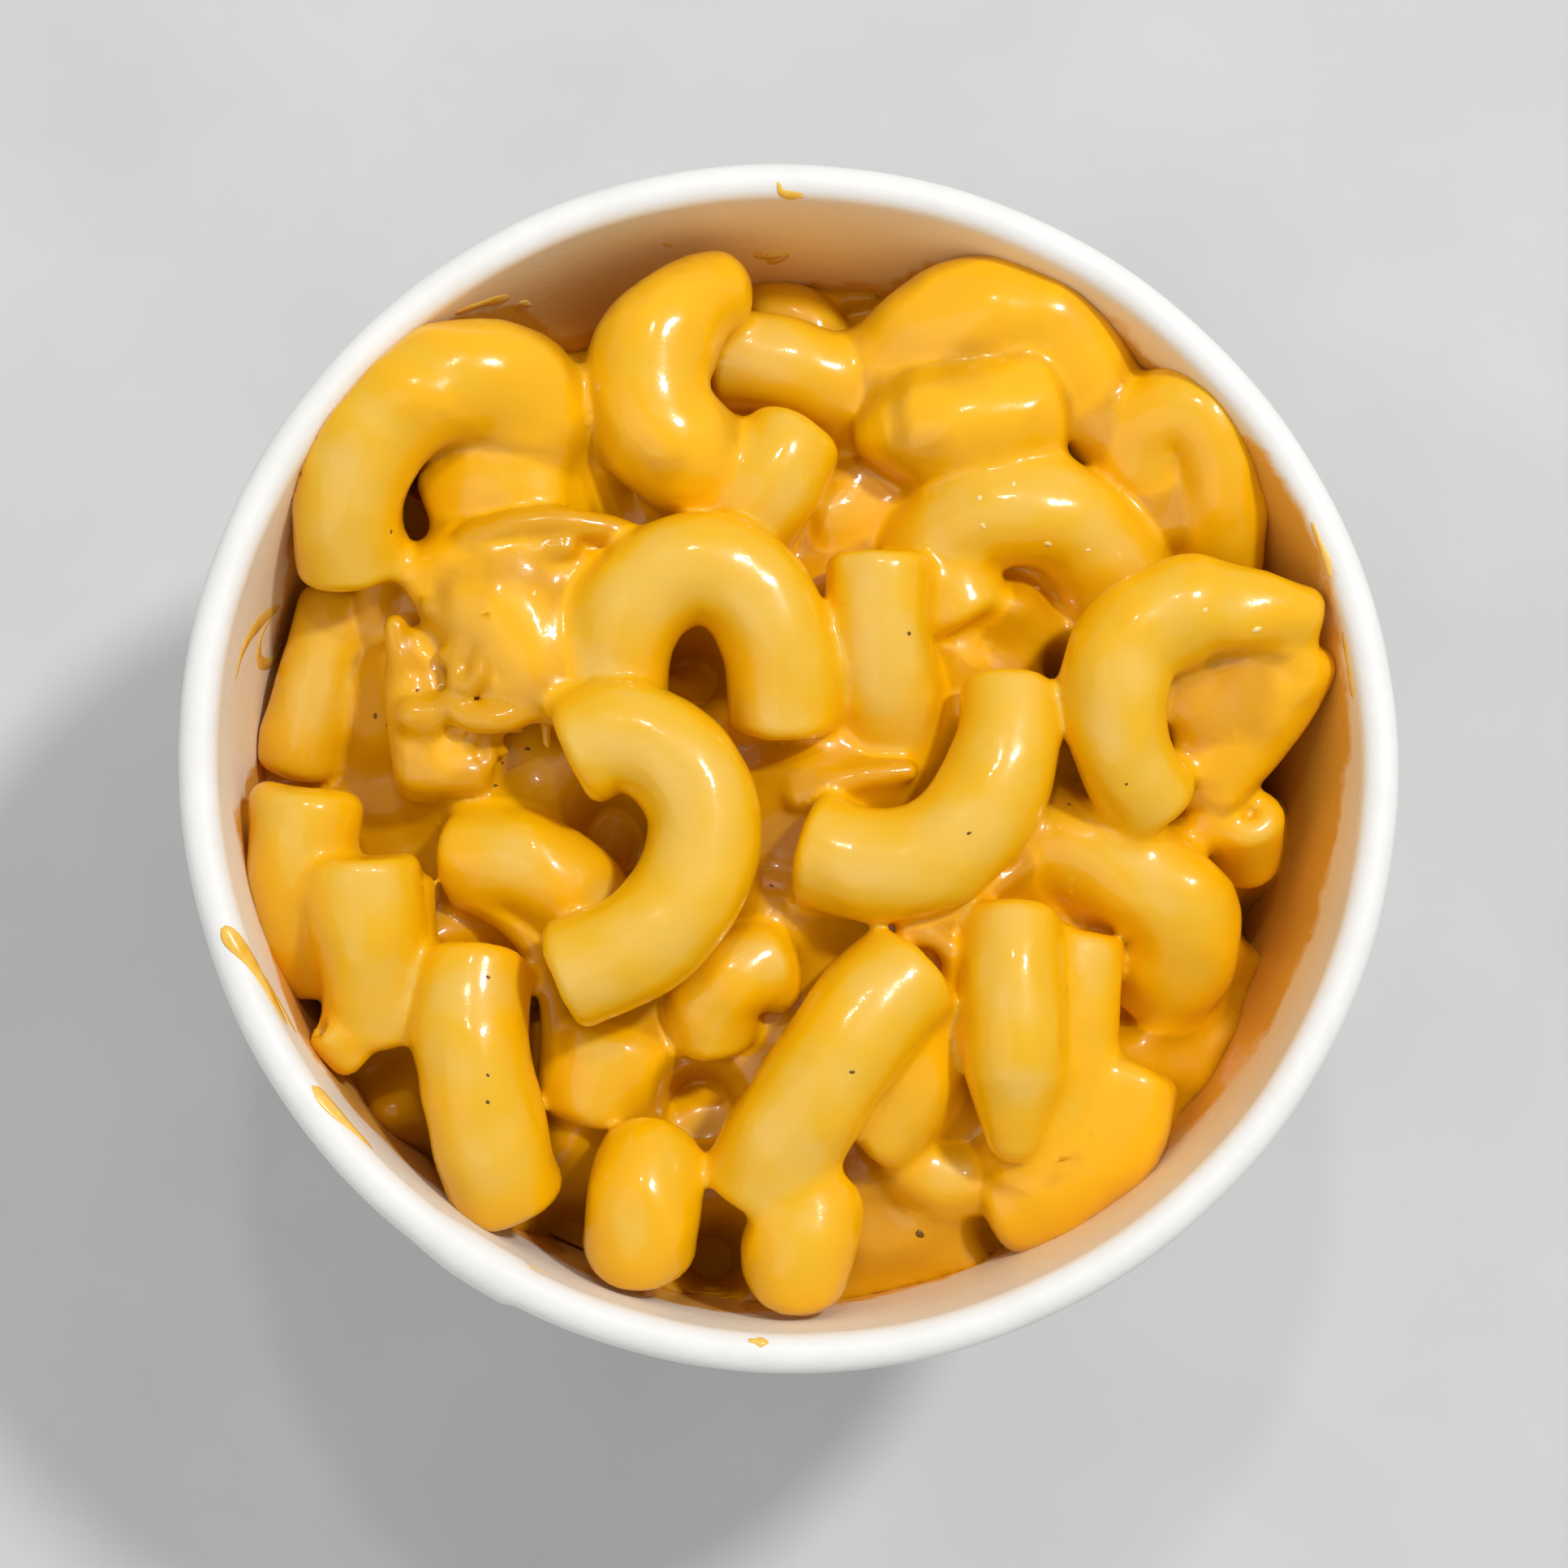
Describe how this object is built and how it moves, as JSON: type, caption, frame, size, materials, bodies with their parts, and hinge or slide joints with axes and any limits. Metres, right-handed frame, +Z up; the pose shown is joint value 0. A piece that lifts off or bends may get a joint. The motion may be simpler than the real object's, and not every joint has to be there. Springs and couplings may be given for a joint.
{
  "type": "tub of macaroni cheese",
  "caption": "White tapered paper tub with a rolled rim, heaped with elbow macaroni in glossy yellow cheese sauce; it stands on its foot.",
  "frame": {"origin": "centre of the tub's foot, on the surface it stands on", "axes": "+Z up the tub's axis to its mouth, +X to the right and +Y to the back of the heap as laid out"},
  "size_m": [0.094, 0.094, 0.0642],
  "materials": {
    "white_paper": "white cup paper, smooth, with a faint fibre mottle",
    "paper_liner": "coated white paper",
    "cheese_sauce": "wet, glossy yellow cheese sauce over pale cooked pasta"
  },
  "bodies": {
    "root": {"cup_wall": "white_paper", "cup_base": "paper_liner", "macaroni_heap": "cheese_sauce"}
  },
  "joints": []
}
